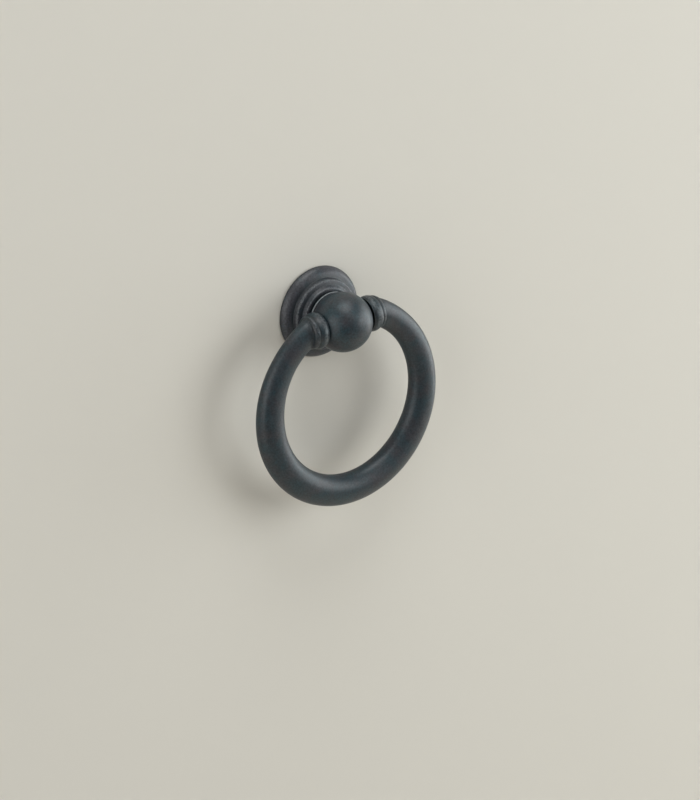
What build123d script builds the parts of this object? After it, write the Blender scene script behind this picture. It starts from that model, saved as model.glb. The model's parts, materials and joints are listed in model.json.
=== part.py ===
from build123d import *
from math import asin, cos, pi, radians, sin, sqrt, tan
import os

# A drop ring pull for a cabinet: a stepped rosette, a ball post and a ring that swings in the ball.
# Millimetres. The cabinet front is the plane y = 0 and the handle stands out from it along -Y, +Z up.
# The origin is the centre of the rosette's back face, on the axis of the fixing hole.

# Rosette: flange, then two treads and two risers, as widths and heights from the rim inwards
rosette_radius = 10.5
back_edge_chamfer = 0.2
rim_height = 0.4
flange_width = 1.2
flange_rise = 1.5
flange_bulge = 0.2
outer_tread_width = 1.1
outer_tread_rise = 0.3
outer_riser_width = 0.2
outer_riser_rise = 1.25
inner_tread_width = 1.0
inner_tread_rise = 0.2
inner_riser_width = 0.75
inner_riser_rise = 0.75
step_round = 0.3
valley_round = 0.18

# Ball post
ball_radius = 6.7
ball_projection = 9.4
neck_radius = 5.3
neck_height = 0.75
lip_radius = 6.0
lip_thickness = 0.55
spigot_radius = 3.0
spigot_recess = 0.15
spigot_chamfer = 0.3

# M4 fixing hole, modelled at its tapping size
fixing_hole_radius = 1.65
fixing_hole_depth = 7.5
fixing_hole_countersink = 0.25
drill_point_angle = 118

# Ring: an oval tube about a circle that hangs below the pivot, wider in the ring's own plane than front to back.
# The sag is how far the circle is below the pivot line where it meets the beads. The tube swells by the flare
# towards the beads.
ring_radius = 21.0
ring_sag = 0.33
tube_width_bottom = 7.3
tube_width_top = 5.5
tube_depth_bottom = 6.0
tube_depth_top = 3.9
tube_fullness = 0.38
tube_flare = 0.6
flare_length = 10
tube_stations = 41

# Collars, beads and pegs at the ring's two ends
collar_rim_radius = 3.7
collar_length = 2.45
collar_end_radius = 3.7
collar_bulge = 0.4
bead_length = 1.15
bead_end_radius = 3.05
bead_bulge = 0.28
groove_round = 0.12
tube_overlap = 1.6
peg_radius = 1.5
peg_reach = 2.2
peg_chamfer = 0.25

# Clearances
spigot_clearance = 0.05
peg_clearance = 0.05
peg_end_clearance = 0.2
collar_gap = 0.45

# Heights and radii that follow, measured out from the cabinet front
flange_radius = rosette_radius - flange_width
flange_height = rim_height + flange_rise
outer_foot_radius = flange_radius - outer_tread_width
outer_foot_height = flange_height + outer_tread_rise
outer_top_radius = outer_foot_radius - outer_riser_width
outer_top_height = outer_foot_height + outer_riser_rise
inner_foot_radius = outer_top_radius - inner_tread_width
inner_foot_height = outer_top_height + inner_tread_rise
seat_radius = inner_foot_radius - inner_riser_width
seat_height = inner_foot_height + inner_riser_rise
lip_back = seat_height + neck_height
lip_front = lip_back + lip_thickness
pivot = Vector(0, -ball_projection, 0)

# Places along the pivot line, measured from the ball's centre
cup_radius = ball_radius + collar_gap
rim_place = sqrt(cup_radius**2 - collar_rim_radius**2)
collar_end = rim_place + collar_length
bead_end = collar_end + bead_length
ring_drop = sqrt(ring_radius**2 - bead_end**2) + ring_sag
bead_turn = pi - asin(bead_end / ring_radius)
peg_root = sqrt(cup_radius**2 - peg_radius**2)
peg_tip = ball_radius - peg_reach


def rounded(face, corners, radius):
    # The profile with the corners at these points rounded.
    picked = [v for v in face.vertices() if any((Vector(*v) - c).length < 0.001 for c in corners)]
    return fillet(picked, radius)


def profile(lines):
    return make_face(Wire(lines))


def out(radius, height):
    # A point of a profile that is turned about the Y axis.
    return Vector(radius, -height, 0)


def along(place, radius):
    # A point of a profile that is turned about the pivot line.
    return Vector(place, radius, 0)


def make_rosette():
    bore = spigot_radius + spigot_clearance
    back_edge = out(rosette_radius - back_edge_chamfer, 0)
    rim_foot = out(rosette_radius, back_edge_chamfer)
    rim_top = out(rosette_radius, rim_height)
    flange_edge = out(flange_radius, flange_height)
    outer_foot = out(outer_foot_radius, outer_foot_height)
    outer_top = out(outer_top_radius, outer_top_height)
    inner_foot = out(inner_foot_radius, inner_foot_height)
    seat_edge = out(seat_radius, seat_height)
    section = profile([
        Line(out(bore, 0), back_edge),
        Line(back_edge, rim_foot),
        Line(rim_foot, rim_top),
        SagittaArc(rim_top, flange_edge, flange_bulge),
        Line(flange_edge, outer_foot),
        Line(outer_foot, outer_top),
        Line(outer_top, inner_foot),
        Line(inner_foot, seat_edge),
        Line(seat_edge, out(bore, seat_height)),
        Line(out(bore, seat_height), out(bore, 0)),
    ])
    section = rounded(section, [flange_edge, outer_top, seat_edge], step_round)
    return revolve(rounded(section, [outer_foot, inner_foot], valley_round), Axis.Y)


def fixing_hole():
    mouth = fixing_hole_radius + fixing_hole_countersink
    point = fixing_hole_depth + fixing_hole_radius / tan(radians(drill_point_angle / 2))
    return revolve(profile([
        Line(out(0, 0), out(mouth, 0)),
        Line(out(mouth, 0), out(mouth, spigot_recess)),
        Line(out(mouth, spigot_recess), out(fixing_hole_radius, spigot_recess + fixing_hole_countersink)),
        Line(out(fixing_hole_radius, spigot_recess + fixing_hole_countersink),
             out(fixing_hole_radius, fixing_hole_depth)),
        Line(out(fixing_hole_radius, fixing_hole_depth), out(0, point)),
        Line(out(0, point), out(0, 0)),
    ]), Axis.Y)


def peg_holes():
    # Two blind holes across the ball, one for each of the ring's pegs.
    bottom = peg_tip - peg_end_clearance
    hole = Cylinder(peg_radius + peg_clearance, cup_radius - bottom, align=(Align.CENTER, Align.CENTER, Align.MIN))
    right = Pos(bottom, -ball_projection, 0) * Rot(0, 90, 0) * hole
    return right + mirror(right, Plane.YZ)


def make_ball_post():
    front = out(0, ball_projection + ball_radius)
    widest = out(ball_radius, ball_projection)
    ball_foot = out(sqrt(ball_radius**2 - (ball_projection - lip_front)**2), lip_front)
    lip_flat = lip_radius - lip_thickness / 2
    spigot_shoulder = out(spigot_radius, spigot_recess + spigot_chamfer)
    spigot_end = out(spigot_radius - spigot_chamfer, spigot_recess)
    body = revolve(profile([
        RadiusArc(front, widest, -ball_radius),
        RadiusArc(widest, ball_foot, -ball_radius),
        Line(ball_foot, out(lip_flat, lip_front)),
        ThreePointArc(out(lip_flat, lip_front), out(lip_radius, lip_back + lip_thickness / 2),
                      out(lip_flat, lip_back)),
        Line(out(lip_flat, lip_back), out(neck_radius, lip_back)),
        Line(out(neck_radius, lip_back), out(neck_radius, seat_height)),
        Line(out(neck_radius, seat_height), out(spigot_radius, seat_height)),
        Line(out(spigot_radius, seat_height), spigot_shoulder),
        Line(spigot_shoulder, spigot_end),
        Line(spigot_end, out(0, spigot_recess)),
        Line(out(0, spigot_recess), front),
    ]), Axis.Y)
    return body - fixing_hole() - peg_holes()


def tube_size(turn, bottom, top):
    # A size of the tube's oval: largest at the lowest point of the ring, where turn is 0, least towards its ends,
    # where it swells again.
    to_bead = ring_radius * max(0, bead_turn - abs(turn))
    swell = tube_flare * max(0, 1 - to_bead / flare_length)**2
    return (bottom + top) / 2 + (bottom - top) / 2 * cos(turn) + tube_fullness * sin(turn)**2 + swell


def tube_section(turn):
    centre = Vector(ring_radius * sin(turn), 0, -ring_drop - ring_radius * cos(turn))
    plane = Plane(origin=centre, x_dir=(0, 1, 0), z_dir=(cos(turn), 0, sin(turn)))
    depth = tube_size(turn, tube_depth_bottom, tube_depth_top)
    width = tube_size(turn, tube_width_bottom, tube_width_top)
    return plane * Ellipse(depth / 2, width / 2)


def make_tube():
    # It runs on past the beads, so that its ends are inside the collars.
    last = pi - asin((bead_end - tube_overlap) / ring_radius)
    turns = [last * (2 * k / (tube_stations - 1) - 1) for k in range(tube_stations)]
    return loft([tube_section(turn) for turn in turns])


def make_collar():
    # Peg, cupped face beside the ball, wide rounded collar and narrow bead, all turned about the pivot line.
    rim = along(rim_place, collar_rim_radius)
    groove = along(collar_end, collar_end_radius)
    bead_foot = along(bead_end, bead_end_radius)
    section = profile([
        Line(along(peg_tip, 0), along(peg_tip, peg_radius - peg_chamfer)),
        Line(along(peg_tip, peg_radius - peg_chamfer), along(peg_tip + peg_chamfer, peg_radius)),
        Line(along(peg_tip + peg_chamfer, peg_radius), along(peg_root, peg_radius)),
        RadiusArc(along(peg_root, peg_radius), rim, -cup_radius),
        SagittaArc(rim, groove, collar_bulge),
        SagittaArc(groove, bead_foot, bead_bulge),
        Line(bead_foot, along(bead_end, 0)),
        Line(along(bead_end, 0), along(peg_tip, 0)),
    ])
    return revolve(rounded(section, [rim, groove], groove_round), Axis.X)


def make_ring():
    collar = make_collar()
    return Pos(*pivot) * (make_tube() + collar + mirror(collar, Plane.YZ))


os.makedirs("parts", exist_ok=True)
for name, shape in [
    ("rosette", make_rosette()),
    ("ball_post", make_ball_post()),
    ("ring", make_ring()),
]:
    export_step(shape, f"parts/{name}.step")
    box = shape.bounding_box()
    print(name, round(shape.volume, 1), [round(v, 2) for v in (*box.min, *box.max)])
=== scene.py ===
import bpy
import bmesh
import json
import math
from mathutils import Matrix, Vector


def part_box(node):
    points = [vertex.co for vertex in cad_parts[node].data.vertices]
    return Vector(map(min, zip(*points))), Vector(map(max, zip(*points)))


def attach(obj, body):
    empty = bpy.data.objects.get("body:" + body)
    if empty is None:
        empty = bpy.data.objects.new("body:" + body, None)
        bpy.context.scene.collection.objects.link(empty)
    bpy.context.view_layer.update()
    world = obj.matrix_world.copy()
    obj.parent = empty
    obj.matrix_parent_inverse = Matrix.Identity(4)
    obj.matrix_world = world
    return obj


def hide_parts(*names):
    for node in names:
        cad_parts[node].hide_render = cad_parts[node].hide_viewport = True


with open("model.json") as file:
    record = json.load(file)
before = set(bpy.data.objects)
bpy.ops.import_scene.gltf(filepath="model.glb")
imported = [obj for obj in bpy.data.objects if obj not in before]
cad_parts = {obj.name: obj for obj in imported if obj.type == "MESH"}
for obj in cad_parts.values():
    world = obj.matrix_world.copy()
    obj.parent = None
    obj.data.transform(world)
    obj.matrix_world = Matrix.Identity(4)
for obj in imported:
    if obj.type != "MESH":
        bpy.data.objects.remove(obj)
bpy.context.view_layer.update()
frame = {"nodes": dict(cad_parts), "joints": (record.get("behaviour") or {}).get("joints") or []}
print("frame loaded:", sorted(frame["nodes"]))

scene = bpy.context.scene
mm = 0.001                                    # the handle's sizes are in millimetres
touching = 1e-4                               # closer than this is the same place
pivot = Vector(frame["joints"][0]["pos_m"])   # centre of the ball, where the ring swings
ballProjection = -pivot.y / mm
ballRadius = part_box("ball_post")[1].z / mm
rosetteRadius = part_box("rosette")[1].x / mm
seatHeight = -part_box("rosette")[0].y / mm     # where the post's neck sits on the rosette
quarterTurn = math.radians(90)
outward = Matrix.Rotation(quarterTurn, 4, "X")     # turns a mesh's Z out of the cabinet front


def alongPivot(side):
    # turns a mesh's Z along the pivot line, to the right for side 1 and to the left for -1
    return Matrix.Translation(pivot) @ Matrix.Rotation(quarterTurn * side, 4, "Y")


def direction(azimuth, height):
    # from degrees: azimuth 0 is straight out from the panel and 90 is to the right along it
    a, h = math.radians(azimuth), math.radians(height)
    return Vector((math.sin(a) * math.cos(h), -math.cos(a) * math.cos(h), math.sin(h)))


# camera: where it looks from, and where the ball's centre falls in the picture
cameraSet = {
    "azimuth": -35.1,
    "elevation": 23.35,
    "roll": -3.45,
    "distance": 0.56,              # metres from the ball's centre
    "pixelsPerMetre": 4543,
    "pivotPixel": (342.7, 322.0),
    "frame": (700, 800),
    "sensor": 36.0,
    "clip": (0.01, 10),
}


def makeCamera():
    c = cameraSet
    azimuth, roll = math.radians(c["azimuth"]), math.radians(c["roll"])
    back = direction(c["azimuth"], c["elevation"])
    right = Vector((math.cos(azimuth), math.sin(azimuth), 0))
    up = back.cross(right)
    right, up = (right * math.cos(roll) + up * math.sin(roll),
                 up * math.cos(roll) - right * math.sin(roll))
    wide, tall = c["frame"]
    aside = (wide / 2 - c["pivotPixel"][0]) / c["pixelsPerMetre"]
    above = (c["pivotPixel"][1] - tall / 2) / c["pixelsPerMetre"]
    data = bpy.data.cameras.new("camera")
    data.sensor_width = c["sensor"]
    data.lens = c["pixelsPerMetre"] * c["distance"] / max(wide, tall) * c["sensor"]
    data.clip_start, data.clip_end = c["clip"]
    camera = bpy.data.objects.new("camera", data)
    scene.collection.objects.link(camera)
    stand = pivot + back * c["distance"] + right * aside + up * above
    turn = Matrix((right, up, back)).transposed().to_4x4()
    camera.matrix_world = Matrix.Translation(stand) @ turn
    scene.camera = camera


makeCamera()
print("camera placed")


# outlines: lists of (radius, place) pairs in millimetres that are turned about an axis
def arc(radius, place, start, end, steps):
    # points of a circle about the axis at this place, by their angle from the axis
    turns = [start + (end - start) * k / steps for k in range(steps + 1)]
    return [(radius * math.sin(t), place + radius * math.cos(t)) for t in turns]


def bow(a, b, bulge, steps=16):
    # points after a, up to b, on the arc that bulges to the left of the way from a to b
    a, b = Vector(a), Vector(b)
    half = (b - a) / 2
    side = Vector((-half.y, half.x)).normalized()
    radius = (half.length ** 2 + bulge ** 2) / (2 * abs(bulge))
    centre = a + half + side * (bulge - math.copysign(radius, bulge))
    start, spread = a - centre, 2 * math.asin(half.length / radius)
    turn = -math.copysign(spread, bulge)
    return [centre + Matrix.Rotation(turn * k / steps, 2) @ start for k in range(1, steps + 1)]


def soften(points, step, reach, closed=False):
    # even steps along the outline, then a running mean that rounds each corner over this reach
    points = [Vector(p) for p in points]
    if closed:
        points.append(points[0])
    lengths = [(b - a).length for a, b in zip(points, points[1:])]
    count = math.ceil(sum(lengths) / step)
    even, leg, gone = [], 0, 0.0
    for k in range(count + (0 if closed else 1)):
        along = sum(lengths) * k / count
        while leg < len(lengths) - 1 and along > gone + lengths[leg]:
            gone += lengths[leg]
            leg += 1
        share = min(1, (along - gone) / lengths[leg])
        even.append(points[leg].lerp(points[leg + 1], share))
    width = max(1, round(reach / step))
    weights = [(j, 1 + math.cos(math.pi * j / (width + 1))) for j in range(-width, width + 1)]
    total = sum(w for j, w in weights)

    def near(k):
        if closed:
            return even[k % count]
        if 0 <= k <= count:
            return even[k]
        beyond = even[-k if k < 0 else 2 * count - k]
        return Vector((-beyond.x, beyond.y))  # past an end on the axis it goes on mirrored

    return [sum((near(k + j) * w for j, w in weights), Vector((0, 0))) / total
            for k in range(len(even))]


def thin(points, leastBend, longest):
    # drops the points that a straight stretch doesn't need
    kept = [points[0]]
    for a, b, c in zip(points, points[1:], points[2:]):
        away = (b - kept[-1]).length
        bend = abs((b - kept[-1]).angle_signed(c - b, 0)) if away > 0 else 0
        if away > longest or bend * away > leastBend:
            kept.append(b)
    return kept + [points[-1]]


def turned(outline, segments, closed=False, shape=None):
    # a mesh turned about Z: shape may change a point's radius by its place and angle
    mesh = bmesh.new()
    rings = []
    for radius, place in outline:
        if abs(radius) < touching:
            rings.append([mesh.verts.new((0, 0, place * mm))] * segments)
            continue
        ring = []
        for k in range(segments):
            angle = 2 * math.pi * k / segments
            r = shape(radius, place, angle) if shape else radius
            corner = (r * mm * math.cos(angle), r * mm * math.sin(angle), place * mm)
            ring.append(mesh.verts.new(corner))
        rings.append(ring)
    if closed:
        rings.append(rings[0])
    for low, high in zip(rings, rings[1:]):
        for k in range(segments):
            n = (k + 1) % segments
            corners = [low[k], low[n], high[n], high[k]]
            corners = [v for i, v in enumerate(corners) if v not in corners[:i]]
            if len(corners) > 2:
                mesh.faces.new(corners)
    bmesh.ops.recalc_face_normals(mesh, faces=mesh.faces)
    return mesh


def addPiece(mesh, name, matrix):
    mesh.transform(matrix)
    data = bpy.data.meshes.new(name)
    mesh.to_mesh(data)
    mesh.free()
    for polygon in data.polygons:
        polygon.use_smooth = True
    piece = bpy.data.objects.new(name, data)
    scene.collection.objects.link(piece)
    return piece


sliver = 0.004                                # shorter edges are closed up after a cut or a join
sortAxis = Vector((1, math.sqrt(2), math.sqrt(3)))


def combine(piece, other, operation):
    # joins or cuts one piece with another, which is then gone
    cut = piece.modifiers.new("combine", "BOOLEAN")
    cut.operation = operation
    cut.solver = "EXACT"
    cut.object = other
    bpy.context.view_layer.update()
    shaped = piece.evaluated_get(bpy.context.evaluated_depsgraph_get())
    done = bpy.data.meshes.new_from_object(shaped)
    piece.modifiers.clear()
    old, piece.data = piece.data, done
    done.name = piece.name
    bpy.data.meshes.remove(old)
    bpy.data.objects.remove(other)
    mesh = bmesh.new()
    mesh.from_mesh(done)
    # a cut lists its points in any order, so they are sorted to get the same mesh each run
    mesh.verts.sort(key=lambda v: v.co.dot(sortAxis))
    mesh.faces.sort(key=lambda f: f.calc_center_median().dot(sortAxis))
    bmesh.ops.triangulate(mesh, faces=[f for f in mesh.faces if len(f.verts) > 4])
    bmesh.ops.remove_doubles(mesh, verts=mesh.verts, dist=sliver * mm)
    bmesh.ops.dissolve_degenerate(mesh, edges=mesh.edges, dist=sliver * mm)
    mesh.to_mesh(done)
    mesh.free()


def markWearAndPaintedLight(piece, marks, aboutPivot=False):
    # stores how rubbed or shaded each point is. A mark is a circle (radius, place) about the
    # piece's axis
    # with its reach and strength: above 0 is rubbed pale, partly real wear and partly a painted
    # highlight, and below 0 is painted shade that darkens a groove or gap.
    wearAndPaintedLight = piece.data.attributes.new("wearAndPaintedLight", "FLOAT", "POINT")
    for vertex, value in zip(piece.data.vertices, wearAndPaintedLight.data):
        x, y, z = vertex.co / mm
        here = Vector((math.hypot(x, z), -y))
        if aboutPivot:
            here = Vector((math.hypot(y + ballProjection, z), abs(x)))
        rubbedAndPaintedLight = 0
        for radius, place, reach, strength in marks:
            away = (here - Vector((radius, place))).length / reach
            rubbedAndPaintedLight += strength * max(0, 1 - away ** 2) ** 2
        value.value = rubbedAndPaintedLight


# rosette: flange, two treads and two risers, as in the solid, with edges softened by the paint
rosetteSet = {
    "backChamfer": 0.2,
    "rimHeight": 0.4,
    "flangeWidth": 1.2,
    "flangeRise": 1.5,
    "flangeBulge": 0.2,
    "outerTread": (1.1, 0.3),      # width inwards and rise
    "outerRiser": (0.2, 1.25),
    "innerTread": (1.0, 0.2),
    "innerRiser": (0.75, 0.75),
    "boreRadius": 3.05,
    "softReach": 0.2,
    "step": 0.05,
    "thinning": (0.0015, 0.6),     # least bend and longest stretch
    "segments": 224,
    # marks: painted shade at the back rim, at the foot of each riser and in the seat under the
    # lip; the tops of the two risers are rubbed pale, partly wear and partly painted highlight
    "wearAndPaintedLight": [(10.5, 0.3, 0.45, -0.7), (8.35, 2.1, 0.75, -0.7), (8.0, 3.2, 0.9, 0.31),
             (7.15, 3.6, 0.55, -0.65), (6.5, 4.15, 0.7, 0.31), (5.3, 4.4, 0.8, -1.0)],
}


def makeRosette():
    s = rosetteSet
    corners = [(s["boreRadius"], 0), (rosetteRadius - s["backChamfer"], 0),
               (rosetteRadius, s["backChamfer"]), (rosetteRadius, s["rimHeight"])]
    radius, height = rosetteRadius - s["flangeWidth"], s["rimHeight"] + s["flangeRise"]
    corners += bow(corners[-1], (radius, height), -s["flangeBulge"])
    for name in ("outerTread", "outerRiser", "innerTread", "innerRiser"):
        radius, height = radius - s[name][0], height + s[name][1]
        corners.append((radius, height))
    corners.append((s["boreRadius"], height))
    outline = thin(soften(corners, s["step"], s["softReach"], closed=True), *s["thinning"])
    plate = addPiece(turned(outline, s["segments"], closed=True), "rosettePlate", outward)
    markWearAndPaintedLight(plate, s["wearAndPaintedLight"])
    return plate


rosettePlate = makeRosette()
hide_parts("rosette")
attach(rosettePlate, "base")
print("rosette turned:", len(rosettePlate.data.polygons), "faces")


# ball post: ball, lip, neck and spigot in one, with an M4 thread in its hole and two blind
# holes for the pegs
postSet = {
    "lipRadius": 5.85,
    "lipThickness": 0.5,
    "lipFullness": 0.999,          # 1 is a half circle
    "neckRadius": 5.3,
    "neckHeight": 0.68,
    "spigotRadius": 3.0,
    "spigotRecess": 0.15,
    "spigotChamfer": 0.3,
    "holeRadius": 1.65,
    "holeDepth": 7.5,
    "drillPoint": 0.99,
    "countersink": 0.25,
    "threadPitch": 0.7,
    "threadDepth": 0.35,
    "threadFlat": 0.125,           # share of the pitch at the crest, and again at the root
    "threadFade": (0.5, 1.2),      # at the mouth and before the hole's bottom
    "threadSteps": 10,             # for each pitch
    "pegHoleRadius": 1.55,
    "pegHoleBottom": 4.3,
    "pegHoleSegments": 48,
    "drillStart": 1.0,             # outside the ball
    "softReach": 0.1,
    "step": 0.05,
    "thinning": (0.0015, 0.5),
    "segments": 144,
    # marks: the lip's edge is rubbed pale, partly wear and partly painted highlight; painted
    # shade on the neck under the lip and in the gap between the lip and the ball
    "wearAndPaintedLight": [(5.84, 5.35, 0.4, 0.72), (5.3, 4.75, 0.6, -1.0), (5.5, 5.7, 0.3, -0.6)],
}


def makePostOutline():
    # from the front of the ball over the lip and the neck to the spigot's end
    s = postSet
    lipBack = seatHeight + s["neckHeight"]
    lipFront = lipBack + s["lipThickness"]
    lipFlat = s["lipRadius"] - s["lipThickness"] / 2
    ballFoot = math.acos((lipFront - ballProjection) / ballRadius)
    return (arc(ballRadius, ballProjection, 0, ballFoot, steps=60) + [(lipFlat, lipFront)]
            + bow((lipFlat, lipFront), (lipFlat, lipBack),
                  s["lipThickness"] / 2 * s["lipFullness"], steps=8)
            + [(s["neckRadius"], lipBack), (s["neckRadius"], seatHeight),
               (s["spigotRadius"], seatHeight),
               (s["spigotRadius"], s["spigotRecess"] + s["spigotChamfer"]),
               (s["spigotRadius"] - s["spigotChamfer"], s["spigotRecess"])])


def makeHoleOutline():
    # from the countersink up to the drill's point
    s = postSet
    mouth = s["holeRadius"] + s["countersink"]
    start = s["spigotRecess"] + s["countersink"]
    length = s["holeDepth"] - start
    count = round(length / s["threadPitch"] * s["threadSteps"])
    wall = [(s["holeRadius"], start + length * k / count) for k in range(count + 1)]
    return [(mouth, s["spigotRecess"])] + wall + [(0, s["holeDepth"] + s["drillPoint"])]


def threadShape(radius, place, angle):
    # the M4 groove: deepest once a turn, fading out at both ends of the hole
    s = postSet
    if abs(radius - s["holeRadius"]) > touching:
        return radius
    turns = place / s["threadPitch"] - angle / (2 * math.pi)
    wave = abs((turns % 1) * 2 - 1)
    groove = min(1, max(0, (1 - s["threadFlat"] - wave) / (1 - 2 * s["threadFlat"])))
    fadeIn, fadeOut = s["threadFade"]
    ends = min(1, (place - s["spigotRecess"] - s["countersink"]) / fadeIn,
               (s["holeDepth"] - place) / fadeOut)
    return radius + s["threadDepth"] * groove * max(0, ends)


def makePost():
    s = postSet
    hole = [Vector(p) for p in makeHoleOutline()]
    body = thin(soften(makePostOutline() + hole[:1], s["step"], s["softReach"]), *s["thinning"])
    mesh = turned(body[:-1] + hole, s["segments"], shape=threadShape)
    post = addPiece(mesh, "ballPost", outward)
    radius, bottom, start = s["pegHoleRadius"], s["pegHoleBottom"], ballRadius + s["drillStart"]
    for side in (1, -1):
        drill = turned([(0, bottom), (radius, bottom), (radius, start), (0, start)],
                       s["pegHoleSegments"])
        combine(post, addPiece(drill, "drill", alongPivot(side)), "DIFFERENCE")
    markWearAndPaintedLight(post, s["wearAndPaintedLight"])
    return post


ballPost = makePost()
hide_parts("ball_post")
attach(ballPost, "base")
print("ball post turned:", len(ballPost.data.polygons), "faces")


# ring: oval tube, thickest at the bottom, that swells a little where it runs into the two
# turned collars, each with a bead behind it and a peg in front
ringSet = {
    "radius": 21.0,
    "sag": 0.33,                   # the circle's distance below the pivot line at the beads
    "widthBottom": 7.29,
    "widthTop": 5.5,
    "depthBottom": 6.0,
    "depthTop": 3.9,
    "fullness": 0.38,
    "swell": 0.59,                 # thicker again towards the beads, over the swell's length
    "swellLength": 10,
    "overlap": 1.6,                # the tube runs on inside the collars
    "fillet": 0.45,
    "stations": 200,
    "fineStations": 45,            # closer together over the last millimetres of each end
    "fineLength": 2.0,
    "segments": 72,
    "sharpAngle": 40,
    "collar": {
        "gap": 0.45,               # from the ball to the cupped face
        "rimRadius": 3.7,
        "length": 2.45,
        "endRadius": 3.7,
        "bulge": 0.4,
        "beadLength": 1.15,
        "beadEndRadius": 3.05,
        "beadBulge": 0.28,
        "pegRadius": 1.5,
        "pegTip": 4.5,
        "pegChamfer": 0.25,
        "softReach": 0.1,
        "step": 0.05,
        "thinning": (0.0015, 0.5),
        "segments": 128,
    },
    # marks: the collar's rim by the ball and the bead are rubbed pale, partly wear and partly
    # painted highlight, the broad pale crown is a painted highlight, and there is painted shade
    # in the groove before the bead and at the step behind it
    "wearAndPaintedLight": [(3.75, 6.12, 0.3, 0.32), (4.0, 7.1, 1.0, 0.27), (3.7, 8.54, 0.35, -0.8),
             (3.62, 9.15, 0.35, 0.21), (3.05, 9.75, 0.5, -0.3)],
}

cup = ballRadius + ringSet["collar"]["gap"]
rimPlace = math.sqrt(cup ** 2 - ringSet["collar"]["rimRadius"] ** 2)
collarEnd = rimPlace + ringSet["collar"]["length"]
beadEnd = collarEnd + ringSet["collar"]["beadLength"]
ringDrop = math.sqrt(ringSet["radius"] ** 2 - beadEnd ** 2) + ringSet["sag"]
beadTurn = math.pi - math.asin(beadEnd / ringSet["radius"])


def makeCollarOutline():
    # from the peg's tip over the cupped face, the collar and the bead to the flat behind it
    s = ringSet["collar"]
    face = arc(cup, 0, math.asin(s["pegRadius"] / cup), math.asin(s["rimRadius"] / cup), steps=12)
    rim, groove = (s["rimRadius"], rimPlace), (s["endRadius"], collarEnd)
    foot = (s["beadEndRadius"], beadEnd)
    return ([(0, s["pegTip"]), (s["pegRadius"] - s["pegChamfer"], s["pegTip"]),
             (s["pegRadius"], s["pegTip"] + s["pegChamfer"])] + face
            + bow(rim, groove, -s["bulge"]) + bow(groove, foot, -s["beadBulge"])
            + [(0, beadEnd)])


def tubeSize(turn, bottom, top):
    # the oval's width or depth at a turn from the lowest point of the ring
    s = ringSet
    toBead = s["radius"] * max(0, beadTurn - abs(turn))
    swell = s["swell"] * max(0, 1 - toBead / s["swellLength"]) ** 2
    even = (bottom + top) / 2 + (bottom - top) / 2 * math.cos(turn)
    return even + s["fullness"] * math.sin(turn) ** 2 + swell


def filletAt(point, collar):
    # how far the tube's surface rises close to the collar, like the fillet of a casting
    reach = ringSet["fillet"]
    here = Vector((math.hypot(point.y, point.z), abs(point.x)))
    away = min((here - c).length for c in collar)
    inside = here.y < beadEnd and here.x < ringSet["collar"]["beadEndRadius"]
    return reach / 2 * max(0, 1 - away / reach) ** (1 if inside else 2)


def makeTube(collar):
    s = ringSet
    last = math.pi - math.asin((beadEnd - s["overlap"]) / s["radius"])
    even = beadTurn - s["fineLength"] / s["radius"]
    turns = [even * (2 * k / s["stations"] - 1) for k in range(s["stations"] + 1)]
    fine = [even + (last - even) * (k + 1) / s["fineStations"] for k in range(s["fineStations"])]
    mesh = bmesh.new()
    rings = []
    for turn in [-t for t in fine[::-1]] + turns + fine:
        outwards = Vector((math.sin(turn), 0, -math.cos(turn)))
        centre = outwards * s["radius"] - Vector((0, 0, ringDrop))
        depth = tubeSize(turn, s["depthBottom"], s["depthTop"]) / 2
        width = tubeSize(turn, s["widthBottom"], s["widthTop"]) / 2
        ring = []
        for j in range(s["segments"]):
            a = 2 * math.pi * j / s["segments"]
            across = outwards * width * math.cos(a) + Vector((0, depth * math.sin(a), 0))
            point = centre + across
            if abs(point.x) < beadEnd + s["fillet"]:
                normal = outwards * depth * math.cos(a) + Vector((0, width * math.sin(a), 0))
                point += normal.normalized() * filletAt(point, collar)
            ring.append(mesh.verts.new(point * mm))
        rings.append(ring)
    for low, high in zip(rings, rings[1:]):
        for j in range(s["segments"]):
            n = (j + 1) % s["segments"]
            mesh.faces.new([low[j], low[n], high[n], high[j]])
    for end in (rings[0], rings[-1]):
        mesh.faces.new(end)
    bmesh.ops.recalc_face_normals(mesh, faces=mesh.faces)
    return mesh


def makeRing():
    s = ringSet["collar"]
    outline = soften(makeCollarOutline(), s["step"], s["softReach"])
    ring = addPiece(makeTube(outline), "pullRing", Matrix.Translation(pivot))
    for side in (1, -1):
        collar = turned(thin(outline, *s["thinning"]), s["segments"])
        combine(ring, addPiece(collar, "collar", alongPivot(side)), "UNION")
    ring.data.set_sharp_from_angle(angle=math.radians(ringSet["sharpAngle"]))
    markWearAndPaintedLight(ring, ringSet["wearAndPaintedLight"], aboutPivot=True)
    return ring


pullRing = makeRing()
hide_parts("ring")
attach(pullRing, "ring")
print("ring made:", len(pullRing.data.polygons), "faces")


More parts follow.
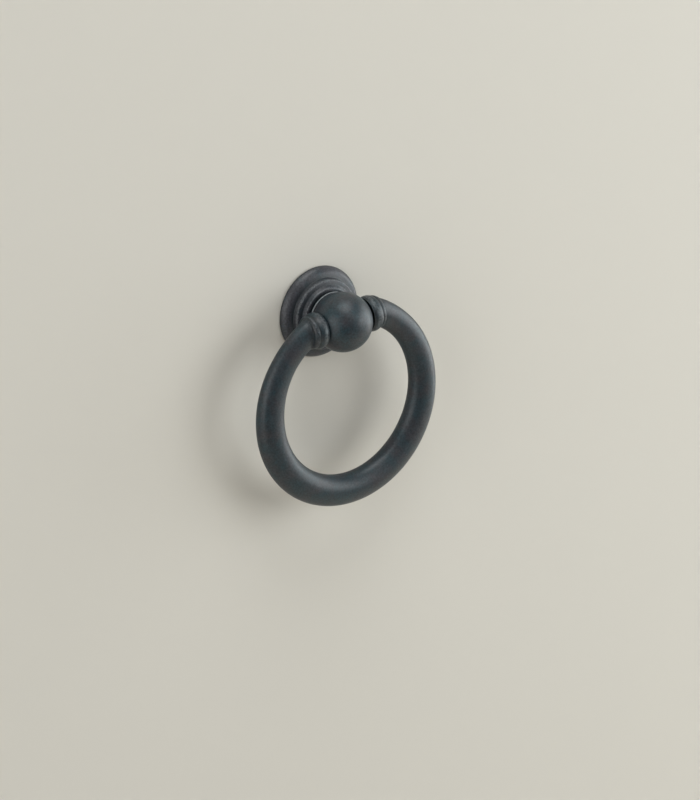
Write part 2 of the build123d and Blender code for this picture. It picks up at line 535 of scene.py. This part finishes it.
# paint: matte black with a fine grain, a little uneven in tone, with painted shade in the grooves
# and gaps and pale edges that are partly rubbed wear and partly painted highlight
paintSet = {
    # tone is painted light: the rosette is painted lighter and the ring darker, in place of more
    # light on the rosette from the upper left than on the ring
    "tone": {"rosettePlate": 1.3, "ballPost": 1.0, "pullRing": 0.88},
    "cool": (0.011, 0.028, 0.036, 1),
    "warm": (0.027, 0.027, 0.032, 1),
    # painted shade: the near black that the grooves and gaps are darkened to
    "paintedShade": (0.003, 0.009, 0.011, 1),
    # the pale colour is partly rubbed wear and partly a painted highlight
    "rubbedAndPaintedLight": (0.29, 0.32, 0.33, 1),
    "rubbedAndHighlightRange": (0.13, 1.1),    # wear at which the rubbed colour starts, and is full
    "rubbedAndHighlightUneven": 0.13,
    "roughness": (0.34, 0.5),
    "specular": 0.5,
    "noiseRange": (0.3, 0.7),      # where most of a noise lies
    "patchSize": 3.5,
    "patchDetail": 4,
    "patchRange": {"rosettePlate": (0.22, 0.52), "ballPost": (0.35, 0.65),
                   "pullRing": (0.35, 0.65)},
    "speckSize": 0.4,
    "speckDetail": 3,
    "speckRange": (0.5, 1.65),     # times the tone
    "grainSize": 0.3,
    "grainDetail": 3,
    "grainHeight": 0.035,
    "fineRoughness": 0.6,          # of the patches, specks and grain
    "waveSize": 2.4,
    "waveDetail": 2,
    "waveRoughness": 0.5,
    "waveHeight": 0.04,
}


def makePaint(name):
    s = paintSet
    mat = bpy.data.materials.new(name + "Paint")
    mat.use_nodes = True
    nodes, links = mat.node_tree.nodes, mat.node_tree.links
    shader = nodes["Principled BSDF"]
    shader.inputs["Specular IOR Level"].default_value = s["specular"]
    coords = nodes.new("ShaderNodeTexCoord")

    def noise(kind, roughness):
        node = nodes.new("ShaderNodeTexNoise")
        node.inputs["Scale"].default_value = 1 / (s[kind + "Size"] * mm)
        node.inputs["Detail"].default_value = s[kind + "Detail"]
        node.inputs["Roughness"].default_value = roughness
        links.new(coords.outputs["Object"], node.inputs["Vector"])
        return node.outputs["Fac"]

    def span(value, fromRange, toRange=(0.0, 1.0)):
        node = nodes.new("ShaderNodeMapRange")
        keys = ("From Min", "From Max", "To Min", "To Max")
        for key, amount in zip(keys, (*fromRange, *toRange)):
            node.inputs[key].default_value = amount
        links.new(value, node.inputs["Value"])
        return node.outputs["Result"]

    def blend(factor, a, b, kind="MIX"):
        node = nodes.new("ShaderNodeMix")
        node.data_type = "RGBA"
        node.blend_type = kind
        for key, value in (("Factor", factor), ("A", a), ("B", b)):
            if isinstance(value, (float, tuple)):
                node.inputs[key].default_value = value
            else:
                links.new(value, node.inputs[key])
        return node.outputs["Result"]

    def bump(height, size, normal=None):
        node = nodes.new("ShaderNodeBump")
        node.inputs["Strength"].default_value = 1
        node.inputs["Distance"].default_value = size * mm
        links.new(height, node.inputs["Height"])
        if normal:
            links.new(normal, node.inputs["Normal"])
        return node.outputs["Normal"]

    def plus(a, b):
        node = nodes.new("ShaderNodeMath")
        node.operation = "ADD"
        links.new(a, node.inputs[0])
        links.new(b, node.inputs[1])
        return node.outputs["Value"]

    wearAndPaintedLightNode = nodes.new("ShaderNodeAttribute")
    wearAndPaintedLightNode.attribute_name = "wearAndPaintedLight"
    wearAndPaintedLight = wearAndPaintedLightNode.outputs["Fac"]
    grain = noise("grain", s["fineRoughness"])
    specks = noise("speck", s["fineRoughness"])
    patches = noise("patch", s["fineRoughness"])
    tone = blend(span(patches, s["patchRange"][name]), s["cool"], s["warm"])
    speckTones = [v * s["tone"][name] for v in s["speckRange"]]
    tone = blend(1.0, tone, span(specks, s["noiseRange"], speckTones), "MULTIPLY")
    # painted shade: marks below 0 turn the colour towards near black in the grooves and gaps
    tone = blend(span(wearAndPaintedLight, (0.0, -1.0)), tone, s["paintedShade"])
    # pale edges: partly rubbed wear, partly a painted highlight
    uneven = span(specks, s["noiseRange"], (-s["rubbedAndHighlightUneven"], s["rubbedAndHighlightUneven"]))
    rubAndHighlight = span(plus(wearAndPaintedLight, uneven), s["rubbedAndHighlightRange"])
    links.new(blend(rubAndHighlight, tone, s["rubbedAndPaintedLight"]), shader.inputs["Base Color"])
    links.new(span(grain, s["noiseRange"], s["roughness"]), shader.inputs["Roughness"])
    wavy = bump(noise("wave", s["waveRoughness"]), s["waveHeight"])
    links.new(bump(grain, s["grainHeight"], wavy), shader.inputs["Normal"])
    return mat


for piece, node in ((rosettePlate, "rosette"), (ballPost, "ball_post"), (pullRing, "ring")):
    paint = makePaint(piece.name)
    for data in (piece.data, frame["nodes"][node].data):
        data.materials.clear()
        data.materials.append(paint)
print("paint mixed")


# stage: the pale cabinet front that the handle hangs on, and a pale floor far below
stageSet = {
    "colour": (0.70, 0.66, 0.595, 1),
    "roughness": 0.8,
    "specular": 0.2,
    "reach": 1.2,                  # metres from the handle to the sides
    "floorDrop": 0.45,             # metres
    "gap": 0.02,                   # millimetres behind the handle
    "openRadius": 10.3,            # the panel is open behind the rosette, for light on its back
    "openSegments": 96,
}


def makePlain(name, seeThroughBack):
    s = stageSet
    mat = bpy.data.materials.new(name)
    mat.use_nodes = True
    nodes, links = mat.node_tree.nodes, mat.node_tree.links
    shader = nodes["Principled BSDF"]
    shader.inputs["Base Color"].default_value = s["colour"]
    shader.inputs["Roughness"].default_value = s["roughness"]
    shader.inputs["Specular IOR Level"].default_value = s["specular"]
    if seeThroughBack:
        side = nodes.new("ShaderNodeNewGeometry")
        clear = nodes.new("ShaderNodeBsdfTransparent")
        mix = nodes.new("ShaderNodeMixShader")
        links.new(side.outputs["Backfacing"], mix.inputs["Fac"])
        links.new(shader.outputs["BSDF"], mix.inputs[1])
        links.new(clear.outputs["BSDF"], mix.inputs[2])
        links.new(mix.outputs["Shader"], nodes["Material Output"].inputs["Surface"])
    return mat


def makePanel(name, points, faces, mat):
    mesh = bpy.data.meshes.new(name)
    mesh.from_pydata(points, [], faces)
    mesh.materials.append(mat)
    panel = bpy.data.objects.new(name, mesh)
    scene.collection.objects.link(panel)


def makeStage():
    s = stageSet
    side, drop, y, count = s["reach"], s["floorDrop"], s["gap"] * mm, s["openSegments"]
    edge, far = [], []
    for k in range(count):
        angle = 2 * math.pi * (k + 0.5) / count
        right, up = math.cos(angle), math.sin(angle)
        edge.append((s["openRadius"] * mm * right, y, s["openRadius"] * mm * up))
        reach = min(side / abs(right), (side if up > 0 else drop) / abs(up))
        far.append((reach * right, y, reach * up))
    around = [(k, (k + 1) % count) for k in range(count)]
    faces = [(count + k, count + n, n, k) for k, n in around]
    makePanel("cabinetFront", edge + far, faces, makePlain("palePanel", seeThroughBack=True))
    corners = [(-side, -2 * side, -drop), (side, -2 * side, -drop), (side, side, -drop),
               (-side, side, -drop)]
    makePanel("floor", corners, [(0, 1, 2, 3)], makePlain("paleFloor", seeThroughBack=False))


makeStage()
print("stage set")


# light: seven large soft lamps round the front, brightest from the right, and a dim room.
# Each lamp has its azimuth and height in degrees, its size in metres, its watts and its colour.
lampSet = {
    "alongLow": (85, -14, 0.4, 2.0, (0.92, 0.98, 1)),
    "alongHigh": (85, 10, 0.5, 2.4, (0.92, 0.98, 1)),
    "right": (50, 5, 0.6, 3.6, (0.94, 0.99, 1)),
    "above": (10, 76, 0.6, 4.3, (0.96, 1, 1)),
    "front": (15, 35, 0.5, 0.8, (0.96, 1, 1)),
    "left": (-72, 18, 0.7, 2.9, (0.97, 1, 1)),
    "lowLeft": (-65, -18, 0.4, 0.55, (0.97, 1, 1)),
}
lightSet = {
    "lampDistance": 0.85,
    "roomColour": (0.80, 0.78, 0.76, 1),
    "roomStrength": 0.08,
}


def makeLamps():
    for name, (azimuth, height, size, watts, colour) in lampSet.items():
        data = bpy.data.lights.new(name, "AREA")
        data.shape = "DISK"
        data.size = size
        data.energy = watts
        data.color = colour
        lamp = bpy.data.objects.new(name, data)
        scene.collection.objects.link(lamp)
        towards = direction(azimuth, height)
        lamp.location = pivot + towards * lightSet["lampDistance"]
        lamp.rotation_mode = "QUATERNION"
        lamp.rotation_quaternion = towards.to_track_quat("Z", "Y")


def makeRoom():
    world = bpy.data.worlds.new("paleRoom")
    world.use_nodes = True
    background = world.node_tree.nodes["Background"]
    background.inputs["Color"].default_value = lightSet["roomColour"]
    background.inputs["Strength"].default_value = lightSet["roomStrength"]
    scene.world = world


makeLamps()
makeRoom()
print("lamps lit")

scene.view_settings.view_transform = "Standard"
